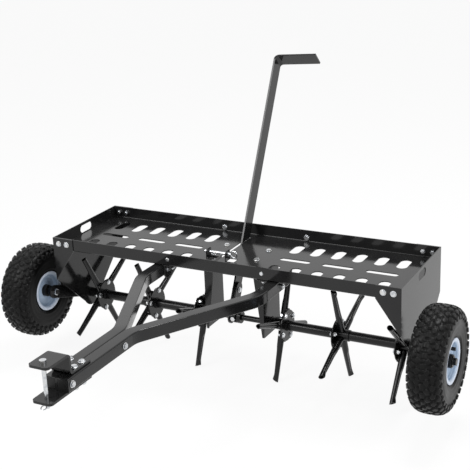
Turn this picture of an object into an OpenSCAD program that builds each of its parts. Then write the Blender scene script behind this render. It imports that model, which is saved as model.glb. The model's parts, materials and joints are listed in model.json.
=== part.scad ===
// Tow-behind plug aerator: a weight tray on a cross shaft of spoon-tined wheels, with a lift lever
// that swings two transport wheels down, and a two-tube drawbar that ends in a pin hitch.
// X runs across the machine, Y points back from the hitch, Z is up and the ground is Z = 0.

/* [Tray] */
// Length of the tray across the machine
tray_len = 1016; // [900:1:1200]
// Depth of the tray from front rail to back rail
tray_depth = 307; // [280:1:360]
// Height of the rails above the deck
rail_h = 32; // [24:1:45]
// Thickness of the folded sheet
sheet = 2.5; // [1.5:0.1:4]
// Outer radius of the folds
fold_r = 5; // [4:0.5:8]
// Length of a weight-tray drain slot
slot_len = 64; // [45:1:70]
// Width of a drain slot
slot_w = 29; // [14:1:36]
// Distance of the last drain slot from the tray's end
slot_edge = 74.5; // [70:0.5:90]
// Place of the first drain slot from the middle
slot_first = 131; // [125:1:140]
// Distance of the slot rows from the middle line
slot_row = 80; // [75:1:84]
// Length of a middle slot
mid_slot_len = 86; // [60:1:95]
// Width of a middle slot
mid_slot_w = 18; // [8:0.5:22]

/* [Side panels] */
// Height of the straight part of a side panel, from the rail's top
panel_drop = 125; // [110:1:140]
// Width of a panel's folded flange at the top
flange_w = 66; // [55:1:75]
// Radius of a panel's rounded lower end
panel_end_r = 38; // [30:1:45]
// Length of a hand hole
hand_len = 56; // [40:1:70]
// Height of a hand hole
hand_h = 22; // [14:1:24]

/* [Tine wheels] */
// Radius from the shaft to a tine's tip
tine_r = 157.5; // [140:0.5:160]
// Height of the deck above the shaft
shaft_drop = 190; // [180:1:210]
// Place of the inner tine wheels from the middle
wheel_first = 120; // [116:1:130]
// Distance of the outer tine wheels in from the tray's ends
wheel_edge = 41; // [38:1:70]
// Outer diameter of a tine at its root
tine_d = 19; // [15:0.5:22]
// Outer diameter of a tine at its tip
tine_tip_d = 14; // [11:0.5:15]
// Wall of a tine
tine_wall = 2.5; // [1.5:0.1:4]
// Thickness of a tine wheel's disc
disc_t = 3; // [2:0.1:5]
// Thickness of a tine's bolted foot
foot_t = 3; // [2:0.1:5]
// Radius of a disc between its lobes
disc_r = 43; // [38:0.5:44]
// Radius of a disc's bolt circle
disc_bolt_r = 36; // [30:0.5:40]
// Radius of a disc's lobe
lobe_r = 10.5; // [9:0.5:12]

/* [Shaft and lift] */
// Diameter of the cross shaft
shaft_d = 16; // [12:0.5:18]
// Outer diameter of the spacer tubes
spacer_d = 27; // [22:0.5:30]
// Distance from the shaft to the wheel axle
arm_len = 141; // [125:1:150]
// Angle of a wheel arm above the level at rest
arm_lift = 19; // [10:0.5:25]
// Width of a wheel arm
arm_w = 38; // [30:1:44]
// Thickness of a wheel arm
arm_t = 6; // [4:0.5:8]
// Gap between a panel's bush and the wheel arm, filled by a spacer
arm_gap = 27; // [10:1:30]
// Width of the lever bar
lever_w = 42; // [30:1:44]
// Thickness of the lever bar
lever_t = 5; // [4:0.5:7]
// Length of the lever from the shaft to its grip
lever_len = 741; // [600:1:800]
// Lean of the lever behind the upright at rest
lever_lean = 27.4; // [20:0.1:28]
// Length of the grip
grip_len = 124; // [100:1:160]
// Tilt of the grip's top towards the back
grip_tilt = 16; // [0:0.5:25]
// Rise of the grip towards its free end
grip_rise = 4.5; // [0:0.5:10]
// Distance of the lever's middle plane left of the middle
lever_x = 36; // [32:0.5:40]

/* [Transport wheels] */
// Radius of a tyre
tyre_r = 134; // [115:1:136]
// Width of a tyre
tyre_w = 90; // [70:1:94]
// Wall of a tyre
tyre_wall = 7; // [5:0.5:10]
// Distance of a tyre's middle plane out from the tray's end
wheel_gap = 86; // [80:1:100]
// Radius of a rim's flange
rim_r = 57; // [50:0.5:62]
// Thickness of the rim's sheet
rim_t = 2.5; // [1.5:0.1:4]
// Diameter of a wheel's axle bolt
axle_d = 12; // [10:0.5:16]

/* [Drawbar and hitch] */
// Side of the square drawbar tubes
tube_w = 30; // [24:1:34]
// Wall of the drawbar tubes
tube_t = 2.5; // [1.5:0.1:4]
// Place of the tubes under the tray from the middle
tube_x = 168; // [160:1:174]
// Distance of the elbows in front of the tray's middle
elbow_y = 236; // [220:1:250]
// Distance of the fork, where the tubes meet
fork_y = 568; // [540:1:600]
// Distance of the tubes' front ends
nose_y = 828; // [800:1:835]
// Rise of the front tubes above the rear stubs
tube_rise = 16.5; // [10:0.5:20]
// Diameter of the hitch pin
pin_d = 9.5; // [8:0.1:14]
// Distance of the hitch pin
pin_y = 863; // [850:1:890]
// Width of the hitch strap and plate
strap_w = 50; // [44:1:58]
// Thickness of the hitch strap and plate
strap_t = 6; // [4:0.5:7]
// Height of the hitch strap's step
strap_step = 50; // [40:1:60]

/* [Hidden] */

$fn = 48;
// One overrun serves all cuts
over = 1;
// Radial running clearance of a shaft in its bore, and the play of a bolt in its hole
run_gap = 0.05;
hole_gap = 0.3;
// Gap between flat faces that move past each other
side_gap = 0.4;

// The ground is the lowest tine tip of the wheels as they stand at rest
quarter_turn = 90;
wheel_turn_shares = [0.672, 0.711, 0.244, 0.228, 0.756, 0.441];
tip_cut = 25;
tip_half = tine_tip_d / 2;
function tip_depth(t) = (tine_r - tip_half * tan(tip_cut)) * cos(t)
  + tip_half * norm([tan(tip_cut) * cos(t), sin(t)]);
tip_reach = [for (s = wheel_turn_shares) let (t = s * quarter_turn)
  max(tip_depth(t), tip_depth(quarter_turn - t))];
shaft_z = max(tip_reach);
deck_z = shaft_z + shaft_drop;
rail_top = deck_z + rail_h;
half_len = tray_len / 2;
half_depth = tray_depth / 2;
slot_pitch = (half_len - slot_edge - slot_first) / 5;
wheel_pitch = (half_len - wheel_edge - wheel_first) / 2;
wheel_x = half_len + wheel_gap;
panel_half = half_depth + sheet;

// The frame's middle in Y lies halfway between the hitch strap's nose and the lever's grip
strap_nose = 20;
front_y = -(pin_y + strap_nose);
grip_bend = 14;
grip_w = lever_w / cos(grip_tilt);
grip_out = grip_len - grip_bend;
grip_top = grip_bend * cos(grip_rise) + grip_out * sin(grip_rise);
back_y = (lever_len - grip_bend) * sin(lever_lean) + grip_w / 2 * cos(lever_lean + grip_tilt)
  + grip_top * sin(lever_lean + grip_tilt);
mid_y = (front_y + back_y) / 2;

// Fasteners, as shares of their diameter
head_r_share = 0.85;
head_h_share = 0.6;
flange_r_share = 1.0;
flange_h_share = 0.18;
nut_h_share = 0.8;
tail_share = 0.35;
bolt_d = 8;
tine_bolt_d = 7;
draw_bolt_d = 8;
hitch_bolt_d = 8;
tie_bolt_d = 5;

// Places of the tine wheels, left to right
wheel_places = [for (i = [2:-1:0]) -(wheel_first + i * wheel_pitch),
                for (i = [0:2]) wheel_first + i * wheel_pitch];
// The side of each wheel on which its disc lies, 1 being the right
wheel_sides = [1, 1, -1, 1, -1, -1];
hub_edge = 4.5;
hub_tine_len = 22;
hub_r = 15.5;
root_w = 14;
root_in = 17;
root_out = 46;
foot_w = 16;
disc_x = tine_d / 2 + foot_t;
hub_disc_len = disc_x + disc_t + hub_edge;

bush_r = 11;
bush_flange_r = 17;
bush_flange_t = 3;
bracket_x = 86;
bracket_half = 50;
bracket_foot = 26;
bracket_top_w = 42;
bracket_flange_top = 30;
bracket_flange_end = 4;
bracket_bolt_x = 64;
bracket_bolt_rows = [-32, 42];
bracket_wall_x = 128;

arm_x = half_len + bush_flange_t + side_gap + arm_gap;
arm_out = arm_x + arm_t;
axle_y = -arm_len * cos(arm_lift);
axle_z = shaft_z + arm_len * sin(arm_lift);
shaft_end = arm_out + side_gap;

// The latch tabs are lanced up from the deck on either side of the lever's slot
tab_len = 26;
tab_h = 26;
tab_left = 68;
tab_right = 11;
latch_y = 57;
latch_z = 16;
latch_d = 8;
latch_tail = 9;
latch_nose = 10;
latch_ring_r = 9;
latch_ring_wire = 1.8;
latch_head_r = 6.5;
latch_head_t = 3;
lever_slot_gap = 4;
lever_slot_w = lever_t + lever_slot_gap;
lever_slot_front = 82;
lever_slot_back = 128;
latch_reach = sqrt(latch_y * latch_y + (shaft_drop + latch_z) * (shaft_drop + latch_z));

collar_r = 17;
collar_w = 15;
crank_len = 96;
crank_t = 6;
crank_w = 34;
crank_bolts = [44, 74];
clamp_w = 11;
clamp_gap = 4;

tyre_mid_r = 92;
rim_seat_gap = 0.2;
rim_barrel_r = 47;
rim_w = 74;
tyre_bead_w = rim_w - 2 * rim_t - 2 * rim_seat_gap;
rim_disc_x = 19;
wheel_hub_len = 70;
wheel_bush_r = 17;
axle_shoulder_r = 11;
axle_washer_r = 14;
axle_washer_t = 2.5;
valve_r = 4.5;
valve_len = 20;
valve_place = 33;
square_share = 0.7;
groove_depth = 4;

tube_z = deck_z - sheet - tube_w / 2;
nose_z = tube_z + tube_rise;
stub_y = 72;
ear_t = 4;
ear_len = 36;
ear_drop = 40;
ear_bolt_y = 135;
cross_bolt_rear = 618;
cross_bolt_front = 815;
strap_flat = 78;
strap_foot = 65;
strap_bolt_in = 15;
strap_bolt_end = 17;
strap_bend = 12;
corner_share = 0.18;
strap_bolt_x = 15;
plate_tail = 65;
plug_len = 8;
pin_head_r = 7.5;
pin_head_h = 6;
pin_tail = 16;
clip_wire = 1.2;
clip_ring_r = 6;
clip_leg = 24;
clip_front = pin_d / 2 + 2 * clip_wire;
clip_drop = 8;
clip_tilt = 20;

// Points of a round arc
function arc(cx, cy, r, a0, a1, n) =
  [for (i = [0:n]) let (a = a0 + (a1 - a0) * i / n) [cx + r * cos(a), cy + r * sin(a)]];

// Puts a piece that is drawn about the tray's middle into the part's frame
module placed() { translate([0, -mid_y, 0]) children(); }

// Turns a child's Z axis towards X, so that a bar along Z lies across the machine
module across() { rotate([0, 90, 0]) children(); }

module mirrored(side) { if (side < 0) mirror([1, 0, 0]) children(); else children(); }

// A round bar along X
module bar_x(x0, x1, r) { translate([x0, 0, 0]) across() cylinder(h = x1 - x0, r = r); }

// A round tube along X
module tube_x(x0, x1, r, bore) {
  difference() {
    bar_x(x0, x1, r);
    bar_x(x0 - over, x1 + over, bore);
  }
}

// A plate in the YZ plane, drawn as a flat shape with Y across and Z up
module plate_yz(x0, x1) {
  translate([x0, 0, 0]) rotate([90, 0, 90]) linear_extrude(x1 - x0) children();
}

// A plate in the XZ plane, drawn as a flat shape with X across and Z up, y0 being its front
module plate_xz(y0, y1) { translate([0, y1, 0]) rotate([90, 0, 0]) linear_extrude(y1 - y0) children(); }

// A slot with round ends along X
module slot_2d(length, width) {
  square([length - width, width], center = true);
  for (s = [-1, 1]) translate([s * (length - width) / 2, 0]) circle(d = width);
}

// A flange bolt along Z: its head stands on Z = 0 and its nut closes the grip below
module bolt(d, grip) {
  head_r = d * head_r_share;
  nut_h = d * nut_h_share;
  cylinder(h = d * flange_h_share, r = d * flange_r_share);
  cylinder(h = d * head_h_share, r = head_r, $fn = 6);
  translate([0, 0, -grip - nut_h - d * tail_share])
    cylinder(h = grip + nut_h + d * tail_share, d = d);
  translate([0, 0, -grip - nut_h]) cylinder(h = nut_h, r = head_r, $fn = 6);
}

// The hole that a bolt goes through
module bolt_hole(d, depth) {
  translate([0, 0, -depth - over]) cylinder(h = depth + 2 * over, d = d + 2 * hole_gap);
}

// Folded section of a rail: the deck's edge turned up through the fold
module rail_section() {
  polygon(concat(
    arc(half_depth - fold_r, deck_z - sheet + fold_r, fold_r, -90, 0, 6),
    [[half_depth, rail_top], [half_depth - sheet, rail_top]],
    arc(half_depth - fold_r, deck_z - sheet + fold_r, fold_r - sheet, 0, -90, 6)));
}

hand_share = 0.6;
deck_len = tray_len - 2 * sheet;
flange_bolt_in = 20;
flange_bolt_pitch = 26;
flange_bolt_z = rail_top - rail_h / 2;
wall_bolt_z = rail_top - rail_h * 2 / 3;
draw_bolt_x = tube_x - tube_w;

// Places of the bolts through the rails: the two at each corner, on X
function corner_bolts() =
  [for (s = [-1, 1]) for (k = [0, 1]) s * (half_len - flange_bolt_in - k * flange_bolt_pitch)];

// A bolt through a rail with its head outside: end is -1 for the front rail and 1 for the back rail
module rail_bolt(end, x, z, d, grip, outside) {
  translate([x, end * outside, z]) rotate([end < 0 ? 90 : -90, 0, 0]) bolt(d, grip);
}

module rail_hole(end, x, z, d) {
  translate([x, end * (panel_half + over), z]) rotate([end < 0 ? 90 : -90, 0, 0])
    bolt_hole(d, 2 * fold_r + over);
}

module tray_deck() {
  color("dimgray") placed() difference() {
    union() {
      translate([0, 0, deck_z - sheet]) linear_extrude(sheet) difference() {
        square([deck_len, tray_depth - 2 * fold_r], center = true);
        for (s = [-1, 1]) {
          for (i = [0:5]) for (row = [-1, 1])
            translate([s * (slot_first + i * slot_pitch), row * slot_row]) rotate(90)
              slot_2d(slot_len, slot_w);
          for (i = [0:2])
            translate([s * (slot_first + (2 * i + 0.5) * slot_pitch), 0]) slot_2d(mid_slot_len, mid_slot_w);
          for (y = bracket_bolt_rows)
            translate([s * bracket_bolt_x, y]) circle(d = bolt_d + 2 * hole_gap);
        }
        translate([-lever_x, (lever_slot_back - lever_slot_front) / 2]) rotate(90)
          slot_2d(lever_slot_back + lever_slot_front, lever_slot_w);
        for (x = [-tab_left, -tab_right])
          translate([x + sheet, -latch_y - tab_len / 2]) square([tab_h - sheet, tab_len]);
      }
      for (end = [0, 1]) mirror([0, end, 0]) plate_yz(-deck_len / 2, deck_len / 2) rail_section();
      for (x = [-tab_left, -tab_right]) plate_yz(x, x + sheet) difference() {
        translate([-latch_y, deck_z - sheet]) {
          translate([-tab_len / 2, 0]) square([tab_len, latch_z + sheet]);
          translate([0, latch_z + sheet]) intersection() {
            circle(d = tab_len);
            translate([-tab_len / 2, 0]) square([tab_len, tab_h - latch_z]);
          }
        }
        translate([-latch_y, deck_z + latch_z]) circle(d = latch_d + 2 * run_gap);
      }
    }
    for (end = [-1, 1]) for (x = corner_bolts()) rail_hole(end, x, flange_bolt_z, bolt_d);
    for (s = [-1, 1]) {
      rail_hole(1, s * bracket_wall_x, wall_bolt_z, bolt_d);
      rail_hole(-1, s * draw_bolt_x, flange_bolt_z, tie_bolt_d);
      translate([s * (draw_bolt_x - ear_t), -ear_bolt_y, deck_z]) bolt_hole(draw_bolt_d, sheet);
    }
  }
}

// Outline of a side panel: straight below the rails, then tapered to a round end at the shaft
module panel_outline() {
  taper = atan2(panel_half, rail_top - panel_drop - shaft_z);
  polygon(concat(
    [[-panel_half, rail_top], [-panel_half, rail_top - panel_drop]],
    arc(0, shaft_z, panel_end_r, 180 + taper / 2, 360 - taper / 2, 16),
    [[panel_half, rail_top - panel_drop], [panel_half, rail_top]]));
}

// A panel's flange over the end of a rail, narrowing down the panel's straight edge
module panel_flange() {
  polygon([[half_len - sheet / 2, rail_top], [half_len - flange_w, rail_top],
           [half_len - flange_w, deck_z - sheet], [half_len - sheet / 2, rail_top - panel_drop]]);
}

module side_panel(side) {
  color("dimgray") placed() mirrored(side) difference() {
    union() {
      plate_yz(half_len - sheet, half_len) difference() {
        panel_outline();
        translate([0, rail_top - rail_h * hand_share]) slot_2d(hand_len, hand_h);
      }
      plate_xz(-panel_half, -half_depth) panel_flange();
      plate_xz(half_depth, panel_half) panel_flange();
    }
    translate([0, 0, shaft_z]) bar_x(half_len - sheet - over, half_len + over, bush_r + run_gap);
    for (end = [-1, 1]) for (x = corner_bolts()) rail_hole(end, x, flange_bolt_z, bolt_d);
  }
}

module left_side_panel() { side_panel(-1); }
module right_side_panel() { side_panel(1); }

// Hanger for the shaft beside the middle: a plate with a top flange and a tapered front flange
module center_bracket(side) {
  top = deck_z - sheet;
  bottom = shaft_z - bracket_foot;
  color("dimgray") placed() mirrored(side) difference() {
    union() {
      plate_yz(bracket_x, bracket_x + sheet)
        translate([-bracket_half, bottom]) square([2 * bracket_half, top - bottom]);
      translate([bracket_x + sheet - bracket_top_w, -bracket_half, top - sheet])
        cube([bracket_top_w, 2 * bracket_half, sheet]);
      plate_xz(-bracket_half, -bracket_half + sheet) polygon([
        [bracket_x + sheet, top], [bracket_x - bracket_flange_top, top],
        [bracket_x - bracket_flange_end, bottom], [bracket_x + sheet, bottom]]);
    }
    translate([0, 0, shaft_z]) bar_x(bracket_x - over, bracket_x + sheet + over, bush_r + run_gap);
    for (y = bracket_bolt_rows) translate([bracket_bolt_x, y, top]) bolt_hole(bolt_d, sheet);
  }
}

module left_center_bracket() { center_bracket(-1); }
module right_center_bracket() { center_bracket(1); }

// Flanged bushes that carry the shaft in the panels and the brackets
module shaft_bushes() {
  color("black") placed() translate([0, 0, shaft_z]) for (s = [0, 1]) mirror([s, 0, 0]) {
    difference() {
      union() {
        bar_x(half_len - sheet, half_len + bush_flange_t, bush_r);
        bar_x(half_len, half_len + bush_flange_t, bush_flange_r);
      }
      bar_x(half_len - sheet - over, half_len + bush_flange_t + over, shaft_d / 2 + run_gap);
    }
    difference() {
      union() {
        bar_x(bracket_x, bracket_x + sheet + bush_flange_t, bush_r);
        bar_x(bracket_x + sheet, bracket_x + sheet + bush_flange_t, bush_flange_r);
      }
      bar_x(bracket_x - over, bracket_x + sheet + bush_flange_t + over, shaft_d / 2 + run_gap);
    }
  }
}

// The run of a drawbar tube's middle line, from its end under the deck to its nose
function tube_run(side) = [[side * tube_x, -stub_y, tube_z], [side * tube_x, -elbow_y, tube_z],
                           [side * tube_w / 2, -fork_y, nose_z], [side * tube_w / 2, -nose_y, nose_z]];

// Square rod along a run of points, with round corners in plan; reach lengthens both ends
module square_run(points, w, reach) {
  last = len(points) - 1;
  for (i = [0:last - 1]) {
    a = points[i];
    b = points[i + 1];
    d = b - a;
    flat = norm([d[0], d[1]]);
    start = i == 0 ? reach : 0;
    finish = i == last - 1 ? reach : 0;
    translate(a) rotate([0, 0, atan2(d[1], d[0])]) rotate([0, -atan2(d[2], flat), 0])
      translate([-start, -w / 2, -w / 2]) cube([norm(d) + start + finish, w, w]);
    if (i > 0) translate(a - [0, 0, w / 2]) cylinder(h = w, d = w);
  }
}

module drawbar_tube(side) {
  color("dimgray") placed() difference() {
    square_run(tube_run(side), tube_w, 0);
    square_run(tube_run(side), tube_w - 2 * tube_t, over);
    for (y = [cross_bolt_rear, cross_bolt_front])
      translate([0, -y, nose_z]) bar_x(-tube_w - over, tube_w + over, draw_bolt_d / 2 + hole_gap);
    translate([0, -ear_bolt_y, tube_z])
      bar_x(-tube_x - tube_w, tube_x + tube_w, draw_bolt_d / 2 + hole_gap);
    for (x = strap_bolt_places())
      translate([x[0], x[1], nose_z + tube_w / 2]) bolt_hole(hitch_bolt_d, tube_w);
  }
}

module left_drawbar_tube() { drawbar_tube(-1); }
module right_drawbar_tube() { drawbar_tube(1); }

// Plugs that close the front ends of the tubes
module tube_plugs() {
  w = tube_w - 2 * tube_t - 2 * hole_gap;
  color("black") placed() for (s = [-1, 1])
    translate([s * tube_w / 2 - w / 2, -nose_y, nose_z - w / 2]) cube([w, plug_len, w]);
}

// Ear that hangs the tube from the deck: a plate on the tube's inner face with a flange on top
module drawbar_ear(side) {
  inner = tube_x - tube_w / 2 - ear_t;
  flange = 2 * (tube_x - tube_w / 2 - draw_bolt_x);
  ear_mid_z = deck_z - sheet - ear_drop + ear_len / 2;
  color("dimgray") placed() mirrored(side) difference() {
    union() {
      plate_yz(inner, inner + ear_t) {
        translate([-ear_bolt_y - ear_len / 2, ear_mid_z]) square([ear_len, ear_drop - ear_len / 2]);
        translate([-ear_bolt_y, ear_mid_z]) circle(d = ear_len);
      }
      translate([inner + ear_t - flange, -ear_bolt_y - ear_len / 2, deck_z - sheet - ear_t])
        cube([flange, ear_len, ear_t]);
    }
    translate([0, -ear_bolt_y, tube_z]) bar_x(inner - over, inner + ear_t + over, draw_bolt_d / 2 + hole_gap);
    translate([draw_bolt_x - ear_t, -ear_bolt_y, deck_z]) bolt_hole(draw_bolt_d, sheet + ear_t);
  }
}

module left_drawbar_ear() { drawbar_ear(-1); }
module right_drawbar_ear() { drawbar_ear(1); }

strap_foot_z = nose_z + tube_w / 2;
strap_top_z = strap_foot_z + strap_step;
strap_back_y = front_y + strap_flat;
plate_top_z = nose_z - tube_w / 2;

// Places of the four upright hitch bolts on X and Y
function strap_bolt_places() =
  [for (s = [-1, 1]) for (y = [strap_t + strap_bolt_in, strap_foot - strap_bolt_end])
    [s * strap_bolt_x, strap_back_y + y]];

// Side view of the upper strap: a Z of flat bar, bent down behind the pin and back along the tubes
module strap_side() {
  inner_r = strap_bend - strap_t;
  top_y = strap_back_y - strap_bend;
  foot_y = strap_back_y - strap_t + strap_bend;
  foot_end = strap_back_y + strap_foot;
  polygon(concat(
    [[front_y, strap_top_z]],
    arc(top_y, strap_top_z - strap_bend, strap_bend, 90, 0, 6),
    arc(foot_y, strap_foot_z + strap_bend, inner_r, 180, 270, 6),
    [[foot_end, strap_foot_z + strap_t], [foot_end, strap_foot_z]],
    arc(foot_y, strap_foot_z + strap_bend, strap_bend, 270, 180, 6),
    arc(top_y, strap_top_z - strap_bend, inner_r, 0, 90, 6),
    [[front_y, strap_top_z - strap_t]]));
}

// Plan of a hitch bar with its front corners rounded
module strap_plan(y1) {
  corner = strap_w * corner_share;
  polygon(concat(
    arc(-strap_w / 2 + corner, front_y + corner, corner, 180, 270, 6),
    arc(strap_w / 2 - corner, front_y + corner, corner, 270, 360, 6),
    [[strap_w / 2, y1], [-strap_w / 2, y1]]));
}

module hitch_strap() {
  color("dimgray") placed() difference() {
    intersection() {
      plate_yz(-strap_w / 2, strap_w / 2) strap_side();
      translate([0, 0, strap_foot_z]) linear_extrude(strap_step) strap_plan(strap_back_y + strap_foot);
    }
    translate([0, -pin_y, strap_top_z - strap_t - over])
      cylinder(h = strap_t + 2 * over, d = pin_d + 2 * run_gap);
    for (x = strap_bolt_places())
      translate([x[0], x[1], strap_foot_z + strap_t]) bolt_hole(hitch_bolt_d, strap_t);
  }
}

// Lower plate of the hitch, bolted up under the tubes
module hitch_plate() {
  color("dimgray") placed() difference() {
    translate([0, 0, plate_top_z - strap_t]) linear_extrude(strap_t) strap_plan(strap_back_y + plate_tail);
    translate([0, -pin_y, plate_top_z - strap_t - over])
      cylinder(h = strap_t + 2 * over, d = pin_d + 2 * run_gap);
    for (x = strap_bolt_places()) translate([x[0], x[1], plate_top_z]) bolt_hole(hitch_bolt_d, strap_t);
  }
}

module panel_bolts() {
  color("silver") placed() for (end = [-1, 1]) for (x = corner_bolts())
    rail_bolt(end, x, flange_bolt_z, bolt_d, 2 * sheet, panel_half);
}

module bracket_bolts() {
  color("silver") placed() for (s = [-1, 1]) {
    for (y = bracket_bolt_rows) translate([s * bracket_bolt_x, y, deck_z]) bolt(bolt_d, 2 * sheet);
    translate([s * bracket_wall_x, half_depth - sheet, wall_bolt_z]) rotate([90, 0, 0]) bolt(bolt_d, sheet);
  }
}

module drawbar_bolts() {
  grip = tube_w + ear_t;
  color("silver") placed() {
    for (y = [cross_bolt_rear, cross_bolt_front])
      translate([tube_w, -y, nose_z]) across() bolt(draw_bolt_d, 2 * tube_w);
    for (s = [-1, 1]) {
      translate([s * (tube_x - tube_w / 2 - ear_t), -ear_bolt_y, tube_z]) rotate([0, -s * 90, 0])
        bolt(draw_bolt_d, grip);
      translate([s * (draw_bolt_x - ear_t), -ear_bolt_y, deck_z]) bolt(draw_bolt_d, sheet + ear_t);
      rail_bolt(-1, s * draw_bolt_x, flange_bolt_z, tie_bolt_d, sheet, half_depth);
    }
  }
}

module hitch_bolts() {
  grip = 2 * strap_t + tube_w;
  color("silver") placed() for (x = strap_bolt_places())
    translate([x[0], x[1], strap_foot_z + strap_t]) bolt(hitch_bolt_d, grip);
}

module cross_shaft() {
  color("black") placed() translate([0, 0, shaft_z]) bar_x(-shaft_end, shaft_end, shaft_d / 2);
}

// Plate arm from the shaft's end to the wheel's axle
module wheel_arm(side) {
  color("black") placed() mirrored(side) translate([0, 0, shaft_z]) rotate([-arm_lift, 0, 0]) difference() {
    plate_yz(arm_x, arm_out) rotate(180) {
      translate([0, -arm_w / 2]) square([arm_len, arm_w]);
      circle(d = arm_w);
      translate([arm_len, 0]) circle(d = arm_w);
    }
    bar_x(arm_x - over, arm_out + over, shaft_d / 2 + run_gap);
    translate([0, -arm_len, 0]) bar_x(arm_x - over, arm_out + over, axle_d / 2 + run_gap);
  }
}

module left_wheel_arm() { wheel_arm(-1); }
module right_wheel_arm() { wheel_arm(1); }

// Turns a piece drawn upright on the shaft to the lever's lean at rest
module leaned() { translate([0, 0, shaft_z]) rotate([-lever_lean, 0, 0]) children(); }

// Section of the lever across its bend: the bar below, the bend and the grip that rises to its free end
module grip_side(x0) {
  mid_x = x0 + grip_bend;
  inner_r = grip_bend - lever_t;
  turn = 90 + grip_rise;
  end_x = mid_x + grip_out * cos(grip_rise);
  end_z = grip_out * sin(grip_rise);
  polygon(concat(
    [[x0 + lever_t, -2 * lever_len], [x0, -2 * lever_len]],
    arc(mid_x, 0, grip_bend, 180, turn, 6),
    [for (r = [grip_bend, inner_r]) [end_x + r * cos(turn), end_z + r * sin(turn)]],
    arc(mid_x, 0, inner_r, turn, 180, 6)));
}

// Outline of the lever seen along X: round at the shaft, with its top part tilted to the back
module lever_outline(top) {
  slant = lever_w / 2 * tan(grip_tilt);
  back = (grip_top + over) * sin(grip_tilt);
  rise = (grip_top + over) * cos(grip_tilt);
  polygon([[-lever_w / 2, 0], [lever_w / 2, 0],
           [lever_w / 2, top - slant], [lever_w / 2 + back, top - slant + rise],
           [-lever_w / 2 + back, top + slant + rise], [-lever_w / 2, top + slant]]);
  circle(d = lever_w);
}

// Flat bar that stands in the deck's slot, with its top bent over on a slant to the right as a grip
module lift_lever() {
  x0 = -lever_x - lever_t / 2;
  top = lever_len - grip_bend;
  color("dimgray") placed() leaned() difference() {
    intersection() {
      plate_yz(x0 - over, x0 + grip_len + over) lever_outline(top);
      translate([0, 0, top]) rotate([-grip_tilt, 0, 0]) plate_xz(-lever_len, lever_len) grip_side(x0);
    }
    bar_x(x0 - over, x0 + lever_t + over, shaft_d / 2 + run_gap);
    for (r = crank_bolts) translate([0, 0, r]) bar_x(x0 - over, x0 + lever_t + over, bolt_d / 2 + hole_gap);
    translate([0, 0, latch_reach]) bar_x(x0 - over, x0 + lever_t + over, latch_d / 2 + hole_gap);
  }
}

// Clamp collar on the shaft with an upright ear that the lever is bolted to
module lever_crank() {
  x0 = -lever_x + lever_t / 2;
  color("black") placed() leaned() difference() {
    union() {
      bar_x(x0, x0 + collar_w, collar_r);
      plate_yz(x0, x0 + crank_t) {
        translate([-crank_w / 2, 0]) square([crank_w, crank_len - crank_w / 2]);
        translate([0, crank_len - crank_w / 2]) circle(d = crank_w);
      }
    }
    bar_x(x0 - over, x0 + collar_w + over, shaft_d / 2 + run_gap);
    for (r = crank_bolts) translate([0, 0, r]) bar_x(x0 - over, x0 + crank_t + over, bolt_d / 2 + hole_gap);
    translate([x0 + (collar_w + crank_t) / 2, 0, 0]) rotate([90 + lever_lean, 0, 0])
      cylinder(h = 2 * collar_r, d = bolt_d);
  }
}

// Bolts of the lever, and the set screw that grips the shaft from the front
module lever_bolts() {
  x0 = -lever_x - lever_t / 2;
  head_h = bolt_d * head_h_share;
  color("silver") placed() {
    leaned() for (r = crank_bolts)
      translate([x0 + lever_t + crank_t, 0, r]) across() bolt(bolt_d, lever_t + crank_t);
    translate([x0 + lever_t + (collar_w + crank_t) / 2, 0, shaft_z]) rotate([90, 0, 0]) {
      translate([0, 0, shaft_d / 2 + run_gap]) cylinder(h = collar_r - shaft_d / 2, d = bolt_d - 2 * run_gap);
      translate([0, 0, collar_r]) cylinder(h = head_h, r = bolt_d * head_r_share, $fn = 6);
    }
  }
}

module shaft_collar() {
  x0 = -lever_x + lever_t / 2 + collar_w + clamp_gap;
  color("black") placed() translate([0, 0, shaft_z])
    tube_x(x0, x0 + clamp_w, collar_r, shaft_d / 2 + run_gap);
}

hub_in = wheel_x - wheel_hub_len / 2;
hub_out = wheel_x + wheel_hub_len / 2;

// Axle bolt with its head and washer outside the wheel, a shoulder up to the arm and a threaded tail
module axle_bolt(side) {
  nut_h = axle_d * nut_h_share;
  washer_x = hub_out + side_gap;
  color("black") placed() mirrored(side) translate([0, axle_y, axle_z]) {
    bar_x(arm_x - nut_h - axle_d * tail_share, washer_x + axle_washer_t, axle_d / 2);
    bar_x(arm_out, hub_in - side_gap, axle_shoulder_r);
    bar_x(washer_x, washer_x + axle_washer_t, axle_washer_r);
    translate([washer_x + axle_washer_t, 0, 0]) across()
      cylinder(h = axle_d * head_h_share, r = axle_d * head_r_share, $fn = 6);
  }
}

module left_axle_bolt() { axle_bolt(-1); }
module right_axle_bolt() { axle_bolt(1); }

// Nuts of the axle bolts, against the arms' inner faces
module axle_nuts() {
  nut_h = axle_d * nut_h_share;
  color("silver") placed() for (s = [-1, 1]) mirrored(s) translate([arm_x - nut_h, axle_y, axle_z])
    across() difference() {
      cylinder(h = nut_h, r = axle_d * head_r_share, $fn = 6);
      translate([0, 0, -over]) cylinder(h = nut_h + 2 * over, d = axle_d + 2 * run_gap);
    }
}

// Tubes on the shaft that keep the tine wheels apart
module spacer_tube(x0, x1) {
  translate([0, 0, shaft_z]) tube_x(x0, x1, spacer_d / 2, shaft_d / 2 + run_gap);
}

// Ends of a tine wheel's hub along X, right and left
function hub_right(i) = wheel_places[i - 1] + (wheel_sides[i - 1] > 0 ? hub_disc_len : hub_tine_len);
function hub_left(i) = wheel_places[i - 1] - (wheel_sides[i - 1] > 0 ? hub_tine_len : hub_disc_len);

module spacer_between(i) { spacer_tube(hub_right(i) + side_gap, hub_left(i + 1) - side_gap); }

module left_long_spacers() { color("black") placed() for (i = [1, 2]) spacer_between(i); }
module right_long_spacers() { color("black") placed() for (i = [4, 5]) spacer_between(i); }

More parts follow.
